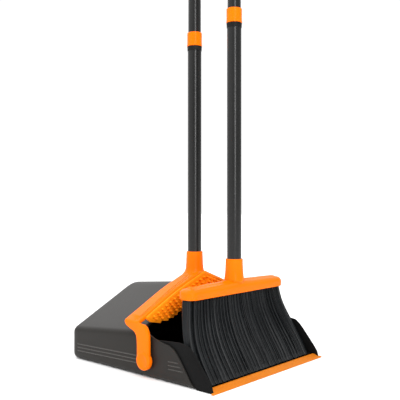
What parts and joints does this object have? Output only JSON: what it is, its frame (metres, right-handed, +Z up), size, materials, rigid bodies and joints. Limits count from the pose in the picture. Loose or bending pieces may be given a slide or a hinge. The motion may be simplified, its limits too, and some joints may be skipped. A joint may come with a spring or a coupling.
{
  "type": "dust pan and brush set",
  "caption": "Upright dust pan with a gabled hood, swinging yoke handle and comb, with a long-handled broom standing in its mouth; both poles telescope.",
  "frame": {"origin": "the floor, at the centre of the set's footprint", "axes": "+Z up, the pan's mouth looks along -Y, X runs along the lip"},
  "size_m": [0.327, 0.344, 1.062],
  "materials": {
    "hood_plastic": "fine satin moulded polypropylene",
    "black_plastic": "black moulded plastic",
    "orange_plastic": "smooth satin-gloss moulded plastic",
    "lip_rubber": "soft thermoplastic rubber",
    "tube_paint": "powder-coated steel tube",
    "grip_rubber": "dark soft-touch rubber",
    "bristle_fibre": "flagged synthetic fibre"
  },
  "bodies": {
    "pan": {"pan_shell": "hood_plastic", "pan_tray": "black_plastic", "lip_strip": "lip_rubber", "pivot_pin_left": "black_plastic", "pivot_pin_right": "black_plastic"},
    "handle": {"yoke": "orange_plastic", "comb": "orange_plastic", "pan_tube_plug": "black_plastic", "pan_tube_lower": "tube_paint", "pan_tube_bush": "black_plastic"},
    "pan_ring": {"pan_lock_ring": "orange_plastic"},
    "pan_pole_top": {"pan_tube_upper": "tube_paint", "pan_tube_guide": "black_plastic", "pan_grip": "grip_rubber", "pan_hang_cap": "orange_plastic"},
    "broom": {"broom_head": "orange_plastic", "tuft_plate": "black_plastic", "bristles": "bristle_fibre", "broom_tube_plug": "black_plastic", "broom_tube_lower": "tube_paint", "broom_tube_bush": "black_plastic"},
    "broom_ring": {"broom_lock_ring": "orange_plastic"},
    "broom_pole_top": {"broom_tube_upper": "tube_paint", "broom_tube_guide": "black_plastic", "broom_grip": "grip_rubber", "broom_hang_cap": "orange_plastic"}
  },
  "joints": [
    {"name": "handle_swing", "type": "hinge", "parent": "pan", "child": "handle", "pos_m": [0, -0.029, 0.029], "axis": [1, 0, 0], "range_deg": [0, 50]},
    {"name": "broom_tip", "type": "hinge", "parent": "pan", "child": "broom", "pos_m": [0, -0.1573, 0.004], "axis": [1, 0, 0], "range_deg": [0, 57.5]},
    {"name": "pan_ring_twist", "type": "hinge", "parent": "handle", "child": "pan_ring", "pos_m": [0, 0.004, 0.585], "axis": [0, 0, 1], "range_deg": [0, 90]},
    {"name": "pan_pole_slide", "type": "slide", "parent": "handle", "child": "pan_pole_top", "axis": [0, 0, 1], "range_m": [-0.18, 0.12]},
    {"name": "broom_ring_twist", "type": "hinge", "parent": "broom", "child": "broom_ring", "pos_m": [0, -0.089, 0.612], "axis": [0, 0, 1], "range_deg": [0, 90]},
    {"name": "broom_pole_slide", "type": "slide", "parent": "broom", "child": "broom_pole_top", "axis": [0, 0, 1], "range_m": [-0.17, 0.18]}
  ],
  "couplings": [
    {"joint": "broom_tip", "follows": "handle_swing", "ratio": 1.15}
  ]
}
